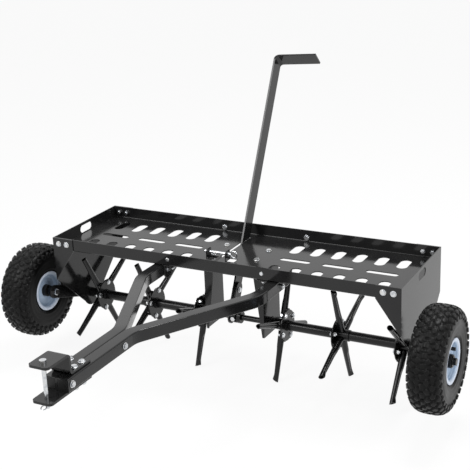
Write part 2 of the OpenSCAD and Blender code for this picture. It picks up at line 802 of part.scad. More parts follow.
// Spacers beside the panels and the brackets, and outside the panels up to the wheel arms
module short_spacers() {
  bracket_end = bracket_x + sheet + bush_flange_t + side_gap;
  panel_end = half_len - sheet - side_gap;
  arm_start = half_len + bush_flange_t + side_gap;
  color("black") placed() {
    spacer_tube(-panel_end, hub_left(1) - side_gap);
    spacer_tube(hub_right(3) + side_gap, -bracket_end);
    spacer_tube(bracket_end, hub_left(4) - side_gap);
    spacer_tube(hub_right(6) + side_gap, panel_end);
    for (s = [-1, 1]) mirrored(s) spacer_tube(arm_start, arm_x);
  }
}

// Puts a piece drawn about its own middle on the shaft at a tine wheel's place, side and turn
module at_tine_wheel(i) {
  translate([wheel_places[i - 1], 0, shaft_z])
    rotate([-wheel_turn_shares[i - 1] * quarter_turn, 0, 0]) mirrored(wheel_sides[i - 1]) children();
}

// Bolt holes through a disc's lobes, which lie between the tines
module lobe_holes() {
  for (k = [0:3]) rotate([(k + 0.5) * quarter_turn, 0, 0]) translate([0, 0, disc_bolt_r])
    bar_x(0, disc_x + disc_t + over, tine_bolt_d / 2 + hole_gap);
}

// Lobed disc on a hub sleeve
module tine_hub(i) {
  color("black") placed() at_tine_wheel(i) difference() {
    union() {
      bar_x(-hub_tine_len, hub_disc_len, hub_r);
      plate_yz(disc_x, disc_x + disc_t) {
        circle(r = disc_r);
        for (k = [0:3]) rotate((k + 0.5) * quarter_turn) translate([disc_bolt_r, 0]) circle(r = lobe_r);
      }
    }
    bar_x(-hub_tine_len - over, hub_disc_len + over, shaft_d / 2 + run_gap);
    lobe_holes();
  }
}

// One upright tine: a tapered tube cut on a slant at its tip, on a foot that reaches the next lobe's bolt
module tine() {
  lobe_y = disc_bolt_r * cos(quarter_turn / 2);
  bore_d = tine_d - (tine_d - tine_tip_d) * (root_out - root_in) / (tine_r - root_in) - 2 * tine_wall;
  difference() {
    union() {
      translate([0, 0, root_in]) cylinder(h = tine_r - root_in, d1 = tine_d, d2 = tine_tip_d);
      translate([0, -root_w / 2, root_in]) cube([disc_x, root_w, root_out - root_in]);
      plate_yz(disc_x - foot_t, disc_x) {
        translate([0, lobe_y - foot_w / 2]) square([lobe_y, foot_w]);
        translate([lobe_y, lobe_y]) circle(d = foot_w);
      }
    }
    translate([0, 0, root_out])
      cylinder(h = tine_r - root_out, d1 = bore_d, d2 = tine_tip_d - 2 * tine_wall);
    translate([tip_half, 0, tine_r]) rotate([0, -tip_cut, 0])
      translate([-2 * tine_d, -tine_d, 0]) cube([3 * tine_d, 2 * tine_d, 2 * tine_d]);
    lobe_holes();
  }
}

module tines(i) {
  color("black") placed() at_tine_wheel(i) for (k = [0:3]) rotate([k * quarter_turn, 0, 0]) tine();
}

module tine_bolts(i) {
  color("silver") placed() at_tine_wheel(i) for (k = [0:3])
    rotate([(k + 0.5) * quarter_turn, 0, 0]) translate([disc_x + disc_t, 0, disc_bolt_r]) across()
      bolt(tine_bolt_d, foot_t + disc_t);
}

// Section of a tyre's outer or inner skin: a squared oval over the crown, drawn in to the beads below
function tyre_crown(half_w, out_r, n) =
  [for (i = [0:n]) let (a = 180 * i / n, c = cos(a), s = sin(a))
    [tyre_mid_r + (out_r - tyre_mid_r) * pow(s, square_share),
     sign(c) * half_w * pow(abs(c), square_share)]];
function tyre_wall_side(half_w, bead_half, side, n) =
  [for (i = [1:n]) let (b = quarter_turn * (side < 0 ? i : n + 1 - i) / n)
    [tyre_mid_r - (tyre_mid_r - rim_r - rim_t) * sin(b),
     side * (bead_half + (half_w - bead_half) * cos(b))]];
function tyre_skin(half_w, out_r, bead_half, foot_r) =
  concat(tyre_crown(half_w, out_r, 24), tyre_wall_side(half_w, bead_half, -1, 8),
         [[foot_r, -bead_half], [foot_r, bead_half]], tyre_wall_side(half_w, bead_half, 1, 8));

// A ring turned about X from a section given as radius and place along X
module turned_x() { rotate([0, 90, 0]) rotate_extrude($fn = 96) children(); }

module at_axle(side) { mirrored(side) translate([wheel_x, axle_y, axle_z]) children(); }

// Hollow tyre on the rim's bead seats, with two grooves round the crown
module tyre(side) {
  seat = rim_barrel_r + rim_seat_gap;
  color([0.08, 0.08, 0.08]) placed() at_axle(side) turned_x() difference() {
    polygon(tyre_skin(tyre_w / 2, tyre_r, tyre_bead_w / 2, seat));
    polygon(tyre_skin(tyre_w / 2 - tyre_wall, tyre_r - tyre_wall - groove_depth,
                      tyre_bead_w / 2 - tyre_wall, seat - over));
    for (s = [-1, 1]) translate([tyre_r - groove_depth, s * tyre_w / 8 - tyre_wall / 4])
      square([2 * groove_depth, tyre_wall / 2]);
  }
}

module left_tyre() { tyre(-1); }
module right_tyre() { tyre(1); }

// Pressed rim: barrel with two flanges, and two discs that hold the hub bush
module rim(side) {
  disc_in = wheel_bush_r + run_gap;
  color("lightsteelblue") placed() at_axle(side) difference() {
    turned_x() union() {
      translate([rim_barrel_r - rim_t, -rim_w / 2]) square([rim_t, rim_w]);
      for (s = [0, 1]) mirror([0, s]) {
        translate([rim_barrel_r - rim_t, rim_w / 2 - rim_t]) square([rim_r - rim_barrel_r + rim_t, rim_t]);
        translate([disc_in, rim_disc_x]) square([rim_barrel_r - rim_t / 2 - disc_in, rim_t]);
      }
    }
    translate([0, 0, valve_place]) bar_x(rim_disc_x - over, rim_disc_x + rim_t + over, valve_r + hole_gap);
  }
}

module left_rim() { rim(-1); }
module right_rim() { rim(1); }

module wheel_bush(side) {
  color("black") placed() at_axle(side)
    tube_x(-wheel_hub_len / 2, wheel_hub_len / 2, wheel_bush_r, axle_d / 2 + run_gap);
}

module left_wheel_bush() { wheel_bush(-1); }
module right_wheel_bush() { wheel_bush(1); }

// Valve through the rim's disc, with a collar inside and a cap outside
module valve(side) {
  color("black") placed() at_axle(side) translate([0, 0, valve_place]) {
    bar_x(rim_disc_x - rim_t, rim_disc_x + rim_t + valve_len, valve_r);
    bar_x(rim_disc_x - rim_t, rim_disc_x, valve_r + rim_t / 2);
    bar_x(rim_disc_x + rim_t, rim_disc_x + 2 * rim_t, valve_r + rim_t / 2);
  }
}

module left_valve() { valve(-1); }
module right_valve() { valve(1); }

// Round wire bent into a ring in the plane across the given axis
module wire_ring(r, wire) { rotate_extrude() translate([r, 0]) circle(r = wire, $fn = 16); }

// Latch pin through both tabs, with a shoulder against the right tab and a pull ring beyond it
module latch_pin() {
  seat = -tab_right + sheet;
  right = seat + latch_nose;
  color("silver") placed() translate([0, -latch_y, deck_z + latch_z]) {
    bar_x(-tab_left - latch_tail, right, latch_d / 2);
    bar_x(seat, seat + latch_head_t, latch_head_r);
    translate([right + latch_ring_r - latch_ring_wire / 2, 0, 0]) rotate([90, 0, 0])
      wire_ring(latch_ring_r, latch_ring_wire);
  }
}

// Hitch pin: head on the strap, shank through the plate, a cross hole below it for the clip
module hitch_pin() {
  bottom = plate_top_z - strap_t - pin_tail;
  color("silver") placed() translate([0, -pin_y, 0]) difference() {
    union() {
      translate([0, 0, bottom]) cylinder(h = strap_top_z - bottom, d = pin_d);
      translate([0, 0, strap_top_z]) cylinder(h = pin_head_h, r = pin_head_r);
    }
    translate([0, 0, plate_top_z - strap_t - clip_drop]) rotate([90, 0, 0])
      cylinder(h = 2 * pin_d, r = clip_wire + hole_gap, center = true);
  }
}

// Clip through the pin's cross hole: a straight leg with a ring that droops in front of the pin
module hairpin_clip() {
  color("silver") placed() translate([0, -pin_y, plate_top_z - strap_t - clip_drop]) {
    translate([0, -clip_front, 0]) rotate([-90, 0, 0]) cylinder(h = clip_leg, r = clip_wire);
    translate([0, -clip_front, 0]) rotate([clip_tilt, 0, 0]) translate([0, -clip_ring_r, 0])
      wire_ring(clip_ring_r, clip_wire);
  }
}

tray_deck();
left_side_panel();
right_side_panel();
left_center_bracket();
right_center_bracket();
shaft_bushes();
left_drawbar_tube();
right_drawbar_tube();
left_drawbar_ear();
right_drawbar_ear();
hitch_strap();
hitch_plate();
panel_bolts();
bracket_bolts();
drawbar_bolts();
hitch_bolts();
cross_shaft();
left_wheel_arm();
right_wheel_arm();
lift_lever();
lever_crank();
lever_bolts();
shaft_collar();
left_axle_bolt();
right_axle_bolt();
left_long_spacers();
right_long_spacers();
short_spacers();
axle_nuts();
tube_plugs();
left_tyre();
right_tyre();
left_rim();
right_rim();
left_wheel_bush();
right_wheel_bush();
left_valve();
right_valve();
latch_pin();
hitch_pin();
hairpin_clip();
for (i = [1:6]) {
  tine_hub(i);
  tines(i);
  tine_bolts(i);
}
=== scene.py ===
"""Looks of a tow-behind plug aerator: powder-coated sheet and tube, zinc fasteners, pneumatic wheels.

Meshes are in metres in the part's own frame: X across, Y back from the hitch, Z up from the ground.
The named sizes of pieces are in millimetres.
"""
import json
import math

import bmesh
import bpy
import numpy as np
from mathutils import Matrix, Vector


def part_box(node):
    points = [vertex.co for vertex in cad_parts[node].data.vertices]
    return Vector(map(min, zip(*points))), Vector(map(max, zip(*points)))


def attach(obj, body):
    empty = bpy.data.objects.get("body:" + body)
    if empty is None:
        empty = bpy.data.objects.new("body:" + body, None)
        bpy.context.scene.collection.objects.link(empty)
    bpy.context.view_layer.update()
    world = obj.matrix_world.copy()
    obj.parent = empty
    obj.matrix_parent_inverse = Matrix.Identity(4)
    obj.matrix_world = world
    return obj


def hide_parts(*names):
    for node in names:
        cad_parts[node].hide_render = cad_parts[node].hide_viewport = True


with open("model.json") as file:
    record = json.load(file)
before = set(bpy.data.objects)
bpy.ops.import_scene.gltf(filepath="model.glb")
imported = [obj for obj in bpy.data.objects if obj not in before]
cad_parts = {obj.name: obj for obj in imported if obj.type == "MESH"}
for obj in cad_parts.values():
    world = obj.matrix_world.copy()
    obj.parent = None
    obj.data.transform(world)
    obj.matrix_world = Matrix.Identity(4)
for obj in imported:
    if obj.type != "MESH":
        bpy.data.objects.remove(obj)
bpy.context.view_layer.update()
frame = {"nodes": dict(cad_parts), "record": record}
NODES = frame["nodes"]
MM = 0.001
MERGE = 0.002 * MM
FULL_TURN = 2 * math.pi


# Colour and material helpers

def srgb(code):
    """Linear RGBA of an sRGB hex code.

    Each channel is c / 12.92 below 0.04045, else ((c + 0.055) / 1.055) ** 2.4.
    """
    c = np.array([int(code[i:i + 2], 16) for i in (1, 3, 5)]) / 255.0
    lin = np.where(c <= 0.04045, c / 12.92, ((c + 0.055) / 1.055) ** 2.4)
    return (*lin.tolist(), 1.0)


def add(tree, kind, links=None, sockets=None, **settings):
    """Adds one node, sets its properties and socket values, and links the given sockets into it."""
    node = tree.nodes.new(kind)
    for key, value in settings.items():
        setattr(node, key, value)
    for key, value in (sockets or {}).items():
        node.inputs[key].default_value = value
    for key, source in (links or {}).items():
        tree.links.new(source, node.inputs[key])
    return node


def per_mm(size_mm):
    """Texture scale that makes one feature about size_mm wide on Object coordinates in metres."""
    return 1.0 / (size_mm * MM)


def ramp(tree, source, stops):
    """Colour ramp from position and colour pairs."""
    node = add(tree, "ShaderNodeValToRGB", {"Fac": source})
    band = node.color_ramp
    while len(band.elements) < len(stops):
        band.elements.new(0.5)
    for element, (place, colour) in zip(band.elements, stops):
        element.position = place
        element.color = colour
    return node


def new_material(name):
    """Empty node material with its output, Principled shader and Object coordinates."""
    material = bpy.data.materials.new(name)
    material.use_nodes = True
    tree = material.node_tree
    tree.nodes.clear()
    coords = add(tree, "ShaderNodeTexCoord").outputs["Object"]
    shader = add(tree, "ShaderNodeBsdfPrincipled")
    add(tree, "ShaderNodeOutputMaterial", {"Surface": shader.outputs["BSDF"]})
    return material, tree, coords, shader


def powder_coat(name, dark, light, rough, shine, peel_mm=3.0, peel=0.06):
    """Powder coat or paint on steel: an even colour, a faint orange peel and slightly uneven gloss."""
    material, tree, coords, shader = new_material(name)
    cloud = add(tree, "ShaderNodeTexNoise", {"Vector": coords},
                {"Scale": per_mm(90), "Detail": 4.0, "Roughness": 0.55})
    tint = ramp(tree, cloud.outputs["Fac"], [(0.3, srgb(dark)), (0.75, srgb(light))])
    gloss = add(tree, "ShaderNodeMapRange", {"Value": cloud.outputs["Fac"]},
                {"From Min": 0.3, "From Max": 0.7, "To Min": rough - 0.04, "To Max": rough + 0.05})
    skin = add(tree, "ShaderNodeTexNoise", {"Vector": coords},
               {"Scale": per_mm(peel_mm), "Detail": 2.0})
    bump = add(tree, "ShaderNodeBump", {"Height": skin.outputs["Fac"]},
               {"Strength": peel, "Distance": 0.2 * MM})
    tree.links.new(tint.outputs["Color"], shader.inputs["Base Color"])
    tree.links.new(gloss.outputs["Result"], shader.inputs["Roughness"])
    tree.links.new(bump.outputs["Normal"], shader.inputs["Normal"])
    shader.inputs["IOR"].default_value = 1.5
    shader.inputs["Specular IOR Level"].default_value = shine
    return material


def zinc_plate():
    """Bright zinc on rolled fasteners: pale metal with a cool and warm passivation cloud and fine marks."""
    material, tree, coords, shader = new_material("bright_zinc_plate")
    cloud = add(tree, "ShaderNodeTexNoise", {"Vector": coords},
                {"Scale": per_mm(8), "Detail": 3.0})
    tint = ramp(tree, cloud.outputs["Fac"],
                [(0.25, srgb("#a6aaaf")), (0.55, srgb("#d8dadc")), (0.8, srgb("#c6c2b8"))])
    gloss = add(tree, "ShaderNodeMapRange", {"Value": cloud.outputs["Fac"]},
                {"From Min": 0.3, "From Max": 0.7, "To Min": 0.14, "To Max": 0.28})
    marks = add(tree, "ShaderNodeTexNoise", {"Vector": coords},
                {"Scale": per_mm(0.8), "Detail": 2.0})
    bump = add(tree, "ShaderNodeBump", {"Height": marks.outputs["Fac"]},
               {"Strength": 0.08, "Distance": 0.1 * MM})
    tree.links.new(tint.outputs["Color"], shader.inputs["Base Color"])
    tree.links.new(gloss.outputs["Result"], shader.inputs["Roughness"])
    tree.links.new(bump.outputs["Normal"], shader.inputs["Normal"])
    shader.inputs["Metallic"].default_value = 1.0
    return material


def moulded_rubber(name, dark, light, rough, shine):
    """Moulded rubber or nylon: near black and dull, with a fine mould grain and a trace of dust."""
    material, tree, coords, shader = new_material(name)
    cloud = add(tree, "ShaderNodeTexNoise", {"Vector": coords},
                {"Scale": per_mm(45), "Detail": 5.0, "Roughness": 0.6})
    tint = ramp(tree, cloud.outputs["Fac"], [(0.3, srgb(dark)), (0.8, srgb(light))])
    gloss = add(tree, "ShaderNodeMapRange", {"Value": cloud.outputs["Fac"]},
                {"From Min": 0.3, "From Max": 0.7, "To Min": rough - 0.06, "To Max": rough + 0.06})
    grain = add(tree, "ShaderNodeTexNoise", {"Vector": coords},
                {"Scale": per_mm(1.2), "Detail": 3.0})
    bump = add(tree, "ShaderNodeBump", {"Height": grain.outputs["Fac"]},
               {"Strength": 0.25, "Distance": 0.15 * MM})
    tree.links.new(tint.outputs["Color"], shader.inputs["Base Color"])
    tree.links.new(gloss.outputs["Result"], shader.inputs["Roughness"])
    tree.links.new(bump.outputs["Normal"], shader.inputs["Normal"])
    shader.inputs["IOR"].default_value = 1.52
    shader.inputs["Specular IOR Level"].default_value = shine
    return material


PRESS_RING_MM = 3.2
# Radii from the axle, in mm, over which the rolled lip's painted highlight comes in
LIP_HIGHLIGHT_STARTS_MM, LIP_HIGHLIGHT_FULL_MM = 46, 51


def pressed_enamel():
    """Pale enamel on a pressed rim: rings from the press about the axle in bump and in painted light and
    shade, and a painted highlight on the rolled lip.

    The wave's phase is 20 times its scale times the distance from the axle, so its scale is a full turn over
    20 ring widths. Both rims share the axle's place on Y and Z, so one centre serves them. The rings are
    drawn coarser than real ones, to show.
    """
    material, tree, coords, shader = new_material("pale_blue_rim_enamel")
    axle = np.mean(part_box("left_rim"), axis=0)
    about = add(tree, "ShaderNodeMapping", {"Vector": coords},
                {"Location": (0.0, -axle[1], -axle[2]), "Scale": (0.0, 1.0, 1.0)})
    reach = add(tree, "ShaderNodeVectorMath", {0: about.outputs["Vector"]}, operation="LENGTH")
    # Painted highlight: the rim is coloured lighter towards its rolled lip, by distance from the axle
    lip = add(tree, "ShaderNodeMapRange", {"Value": reach.outputs["Value"]},
              {"From Min": LIP_HIGHLIGHT_STARTS_MM * MM, "From Max": LIP_HIGHLIGHT_FULL_MM * MM})
    rings = add(tree, "ShaderNodeTexWave", {"Vector": about.outputs["Vector"]},
                {"Scale": FULL_TURN / (20 * PRESS_RING_MM * MM), "Distortion": 1.5, "Detail": 2.0},
                wave_type="RINGS", rings_direction="X")
    # Painted light and shade of the press rings: the colour steps darker and lighter with the ring wave,
    # beside their real bump
    bowl = ramp(tree, rings.outputs["Fac"], [(0.0, srgb("#a0b5cd")), (1.0, srgb("#b7c9de"))])
    # The lip's painted highlight is mixed over the bowl's ring colour
    tint = add(tree, "ShaderNodeMix", {"Factor": lip.outputs["Result"], 6: bowl.outputs["Color"]},
               {7: srgb("#d2dcec")}, data_type="RGBA")
    bump = add(tree, "ShaderNodeBump", {"Height": rings.outputs["Fac"]},
               {"Strength": 0.2, "Distance": 0.2 * MM})
    tree.links.new(tint.outputs[2], shader.inputs["Base Color"])
    tree.links.new(bump.outputs["Normal"], shader.inputs["Normal"])
    shader.inputs["Roughness"].default_value = 0.3
    shader.inputs["IOR"].default_value = 1.5
    return material


GLOSS_BLACK = powder_coat("gloss_black_powder_coat", "#161617", "#1e1e1e", 0.13, 0.36, peel=0.03)
SATIN_BLACK = powder_coat("satin_black_paint", "#0b0b0b", "#121213", 0.24, 0.32, peel_mm=2.0)
RIM_ENAMEL = pressed_enamel()
ZINC = zinc_plate()
TYRE_RUBBER = moulded_rubber("moulded_tyre_rubber", "#070707", "#0f0f0f", 0.36, 0.15)
VALVE_RUBBER = moulded_rubber("valve_rubber", "#0b0b0b", "#141414", 0.5, 0.3)
BUSH_NYLON = moulded_rubber("black_nylon", "#0d0d0d", "#161616", 0.42, 0.3)

SLOT_FINISH = {"black_paint": GLOSS_BLACK, "black_steel": SATIN_BLACK, "zinc": ZINC,
               "rim_paint": RIM_ENAMEL, "tyre": TYRE_RUBBER, "bush": BUSH_NYLON, "valve": VALVE_RUBBER}
SLOT_OF = {row["node"]: row["material_slot"] for row in frame["record"]["subparts"]}
BODY_OF = {node: body for body, held in frame["record"]["behaviour"]["bodies"].items()
           for node in held}
for node_name, node_object in NODES.items():
    node_object.data.materials.clear()
    node_object.data.materials.append(SLOT_FINISH[SLOT_OF[node_name]])


# Mesh helpers

def grid_quads(n, m, wrap_u=False, wrap_v=False):
    """Corner numbers of the quads of an n by m grid, row by row; a wrapped way joins last to first."""
    i = np.arange(n if wrap_u else n - 1)[:, None]
    j = np.arange(m if wrap_v else m - 1)[None, :]
    i2, j2 = (i + 1) % n, (j + 1) % m
    corners = np.stack([i * m + j, i2 * m + j, i2 * m + j2, i * m + j2], axis=-1)
    return corners.reshape(-1, 4).tolist()


def mesh_piece(name, points, faces, material, smooth=True, crease=None):
    """Object at the origin from points and faces.

    Doubles are merged, normals turned out, and edges over crease degrees left sharp.
    """
    mesh = bpy.data.meshes.new(name)
    mesh.from_pydata(points, [], faces)
    work = bmesh.new()
    work.from_mesh(mesh)
    bmesh.ops.remove_doubles(work, verts=work.verts, dist=MERGE)
    bmesh.ops.recalc_face_normals(work, faces=work.faces)
    work.to_mesh(mesh)
    work.free()
    mesh.polygons.foreach_set("use_smooth", np.full(len(mesh.polygons), smooth))
    if crease is not None:
        mesh.set_sharp_from_angle(angle=math.radians(crease))
    mesh.materials.append(material)
    mesh.update()
    piece = bpy.data.objects.new(name, mesh)
    bpy.context.collection.objects.link(piece)
    return piece


def ring_piece(name, rings, material, crease=None):
    """Mesh of a grid of points of shape (n, m, 3) that closes on itself both ways."""
    faces = grid_quads(*rings.shape[:2], True, True)
    return mesh_piece(name, rings.reshape(-1, 3), faces, material, crease=crease)


def even_flats(piece):
    """Weighs corner normals by face area, so large flat faces stay flat beside their rounded edges."""
    weigh = piece.modifiers.new("even_flats", "WEIGHTED_NORMAL")
    weigh.mode = "FACE_AREA"
    weigh.weight = 100
    weigh.keep_sharp = True


def stand_for(piece, node):
    """Lets a piece ride on its node's body and stand for the node."""
    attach(piece, BODY_OF[node])
    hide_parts(node)


def smooth_step(low, high, x):
    """0 below low, 1 above high, and t * t * (3 - 2 t) between."""
    t = np.clip((x - low) / (high - low), 0.0, 1.0)
    return t * t * (3.0 - 2.0 * t)


def turned(section, centre, theta):
    """Points of a section of (place along the axle, radius), alike or one for each angle, turned about X."""
    along, radius = np.broadcast_arrays(section[..., 0], section[..., 1])
    y = centre[1] + radius * np.cos(theta)[:, None]
    z = centre[2] + radius * np.sin(theta)[:, None]
    return np.stack(np.broadcast_arrays(centre[0] + along, y, z), axis=-1)


# Tyres

CROWN_HALF = 41.6
WIDEST_R = 92
CROWN_RISE = 36.8
CROWN_POWER = 0.64
BEAD_HALF = 34.3
BEAD_R, FOOT_R, SEAT_R = 59.5, 53.0, 47.2
CROWN_POINTS, SIDE_POINTS = 76, 12
KNOBS = 33
POINTS_PER_KNOB = 24
KNOB_ROWS = range(-4, 5)
ROW_PITCH = 12.4
KNOB_HALF_LONG, KNOB_HALF_WIDE = 9.2, 7.2
KNOB_POWER = 1.5
KNOB_FLANK = (0.84, 0.98)
TREAD_R = 131
SHOULDER_KNOB, CROWN_KNOB = 3.4, 5.0
KNOB_FADE = (95, 100)
RIB_RISE = 1.3
RIBS = ((92, 1.5), (66, 1.8))


def tyre_profile():
    """Outer section of the carcass as (place along the axle, radius) from bead foot to bead foot.

    The crown is a squared oval over the widest radius. Each side is drawn in as a quarter cosine to the
    bead, then straight to the seat.
    """
    a = np.linspace(math.pi, 0.0, CROWN_POINTS)
    c, s = np.cos(a), np.sin(a)
    crown = np.stack([np.sign(c) * CROWN_HALF * np.abs(c) ** CROWN_POWER,
                      WIDEST_R + CROWN_RISE * np.abs(s) ** CROWN_POWER], axis=1)
    b = np.linspace(math.pi / 2, 0.0, SIDE_POINTS, endpoint=False)
    side = np.stack([BEAD_HALF + (CROWN_HALF - BEAD_HALF) * np.cos(b),
                     WIDEST_R - (WIDEST_R - BEAD_R) * np.sin(b)], axis=1)
    foot = np.array([[BEAD_HALF, SEAT_R], [BEAD_HALF, FOOT_R]])
    right = np.concatenate([foot, side])
    left = right * [-1, 1]
    return np.concatenate([left, crown, right[::-1]]) * MM


def tread_height(theta, across):
    """Tread of staggered blunt diamonds: the largest over the rows of a soft step on their distance.

    With p the knob power, the distance is the p-th root of (|along| / half length) ** p
    + (|across| / half width) ** p. theta is the angle round the tyre, across the way from the crown's
    middle along the section, in mm.
    """
    pitch = FULL_TURN / KNOBS
    height = np.zeros(np.broadcast(theta, across).shape)
    for row in KNOB_ROWS:
        shift = (row % 2) * pitch / 2
        along = (((theta - shift) / pitch + 0.5) % 1.0 - 0.5) * pitch * TREAD_R
        m = ((np.abs(along) / KNOB_HALF_LONG) ** KNOB_POWER
             + (np.abs(across - row * ROW_PITCH) / KNOB_HALF_WIDE) ** KNOB_POWER)
        height = np.maximum(height, 1.0 - smooth_step(*KNOB_FLANK, m ** (1 / KNOB_POWER)))
    return height


def tyre(side):
    """Tyre as the carcass section swept round the axle, with knobs pushed out along its normal.

    The knobs stand highest over the crown and lower on its shoulders, and fade out down the side. Two ribs,
    each a bell curve on the radius, ring each smooth side.
    """
    centre = np.mean(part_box(side + "_tyre"), axis=0)
    profile = tyre_profile()
    step = np.gradient(profile, axis=0)
    normal = np.stack([-step[:, 1], step[:, 0]], axis=1)
    normal /= np.linalg.norm(normal, axis=1, keepdims=True)
    run = np.concatenate([[0.0], np.cumsum(np.linalg.norm(np.diff(profile, axis=0), axis=1))])
    across = (run - run[-1] / 2) / MM
    theta = np.linspace(0, FULL_TURN, KNOBS * POINTS_PER_KNOB, endpoint=False)
    tread = tread_height(theta[:, None], across[None, :])
    height = profile[:, 1] / MM
    ribs = sum(RIB_RISE * np.exp(-((height - at) / spread) ** 2) for at, spread in RIBS)
    rise = SHOULDER_KNOB + (CROWN_KNOB - SHOULDER_KNOB) * np.abs(normal[:, 1])
    stand = smooth_step(*KNOB_FADE, height) * rise
    lift = (tread * stand[None, :] + ribs[None, :]) * MM
    skin = profile[None, :, :] + normal[None, :, :] * lift[:, :, None]
    piece = ring_piece(side + "_tyre_tread", turned(skin, centre, theta), TYRE_RUBBER)
    stand_for(piece, side + "_tyre")


tyre("left")
tyre("right")


# Rims: half sections of (place along the axle, radius), and how far each corner is cut back

RIM_BOWL = [(23, 17.05), (23, 22), (20, 27), (20, 37), (26, 44.2), (34, 45.5), (37, 50), (37, 57),
            (34.8, 57), (33.4, 47.1)]
RIM_BOWL_CUT = [0.4, 1.5, 3, 4, 4, 2.5, 3, 1, 1, 1.5]
RIM_BACK = [(30, 43.2), (24, 41.5), (17.6, 38), (17.6, 26), (20.5, 20), (20.5, 17.05)]
RIM_BACK_CUT = [1.5, 2.5, 3, 3, 1, 0.4]
RIM_POINTS = 96


def rounded_loop(corners, radii, steps=5):
    """Closed outline with each corner cut by a quadratic arc that starts and ends its radius away."""
    corners, radii = np.asarray(corners, float), np.asarray(radii, float)
    back = np.roll(corners, 1, axis=0) - corners
    ahead = np.roll(corners, -1, axis=0) - corners
    start = corners + back / np.linalg.norm(back, axis=1, keepdims=True) * radii[:, None]
    end = corners + ahead / np.linalg.norm(ahead, axis=1, keepdims=True) * radii[:, None]
    t = np.linspace(0, 1, steps)[None, :, None]
    curve = (1 - t) ** 2 * start[:, None] + 2 * t * (1 - t) * corners[:, None] + t ** 2 * end[:, None]
    return curve.reshape(-1, 2)


def rim(side):
    """Pressed rim as a closed section turned about the axle: each side a bowl from hub to rolled lip."""
    centre = np.mean(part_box(side + "_tyre"), axis=0)
    bowl, back = np.array(RIM_BOWL), np.array(RIM_BACK)
    section = np.concatenate([bowl, bowl[::-1] * [-1, 1], back[::-1] * [-1, 1], back])
    cuts = RIM_BOWL_CUT + RIM_BOWL_CUT[::-1] + RIM_BACK_CUT[::-1] + RIM_BACK_CUT
    loop = rounded_loop(section, cuts) * MM
    theta = np.linspace(0, FULL_TURN, RIM_POINTS, endpoint=False)
    piece = ring_piece(side + "_pressed_rim", turned(loop, centre, theta), RIM_ENAMEL, crease=50)
    stand_for(piece, side + "_rim")


rim("left")
rim("right")


# Tines

SHAFT = np.mean(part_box("cross_shaft"), axis=0)
WHEELS = [-467, -293.5, -120, 120, 293.5, 467]
DISC_SIDES = [1, 1, -1, 1, -1, -1]
TURNS = np.radians(np.array([0.672, 0.711, 0.244, 0.228, 0.756, 0.441]) * 90)
TINE_ROOT_R, TINE_END_R = 17, 157.5
ROOT_HALF, TIP_HALF = 9.5, 7.0
TINE_WALL = 2.5
TIP_SLANT = math.tan(math.radians(25))
TROUGH, TROUGH_SPREAD = 4.2, 0.6
LIP = 2.2
TIP_SHARE = 0.84
ROOT_BLOCK, ROOT_BLOCK_CUT = [(-7, 17), (7, 17), (7, 46), (-7, 46)], [1, 1, 5, 5]
ROOT_BLOCK_X = (0, 12.4)
BOLT_FOOT, BOLT_FOOT_CUT = [(-7, 17.6), (33, 17.6), (33, 33.4), (-7, 33.4)], [2, 7.9, 7.9, 2]
BOLT_FOOT_X = (9.5, 12.45)


def tine_tube():
    """One upright tine as rings of skin and bore, in mm, with its hub disc towards +X.

    The tube narrows evenly from root to tip, and its end is sheared, longest beside the disc. The side away
    from the disc is pressed in as a trough, a bell curve round the tube, and turns out as a lip at the tip.
    """
    t = np.concatenate([np.linspace(0, TIP_SHARE, 18, endpoint=False), np.linspace(TIP_SHARE, 1, 12)])
    t = t[:, None]
    phi = np.linspace(0, FULL_TURN, 48, endpoint=False)[None, :]
    away = np.exp(-((phi - math.pi) / TROUGH_SPREAD) ** 2)
    trough = TROUGH * smooth_step(0.3, 0.45, t) * (1 - smooth_step(0.86, 0.94, t)) * away
    lip = LIP * smooth_step(0.92, 1.0, t) * away
    rings = []
    for wall in (0.0, TINE_WALL):
        radius = ROOT_HALF - (ROOT_HALF - TIP_HALF) * t - wall
        end = TINE_END_R - (TIP_HALF - (TIP_HALF - wall) * np.cos(phi)) * TIP_SLANT
        x = radius * np.cos(phi) + trough - lip
        z = TINE_ROOT_R + t * (end - TINE_ROOT_R)
        rings.append(np.stack(np.broadcast_arrays(x, radius * np.sin(phi), z), axis=-1))
    skin, bore = rings
    return np.concatenate([skin, bore[::-1]])


def plate(outline, x0, x1):
    """Points and faces of a flat plate: an outline in Y and Z between two places on X."""
    n = len(outline)
    points = np.concatenate([np.insert(outline, 0, x, axis=1) for x in (x0, x1)])
    ring = np.arange(n)
    sides = np.stack([ring, (ring + 1) % n, (ring + 1) % n + n, ring + n], axis=1)
    return points, [list(range(n)), list(range(n, 2 * n)), *sides.tolist()]


def tine_parts():
    """Points and faces of a tine: its tube, the block at its root and the foot to the next lobe's bolt."""
    tube = tine_tube()
    return [(tube.reshape(-1, 3), grid_quads(*tube.shape[:2], True, True)),
            plate(rounded_loop(ROOT_BLOCK, ROOT_BLOCK_CUT), *ROOT_BLOCK_X),
            plate(rounded_loop(BOLT_FOOT, BOLT_FOOT_CUT), *BOLT_FOOT_X)]


def joined(parts):
    """All points in one array, and the faces with their corner numbers moved on to match."""
    starts = np.cumsum([0] + [len(points) for points, _ in parts])
    faces = [[corner + start for corner in face]
             for start, (_, held) in zip(starts, parts) for face in held]
    return np.concatenate([points for points, _ in parts]), faces


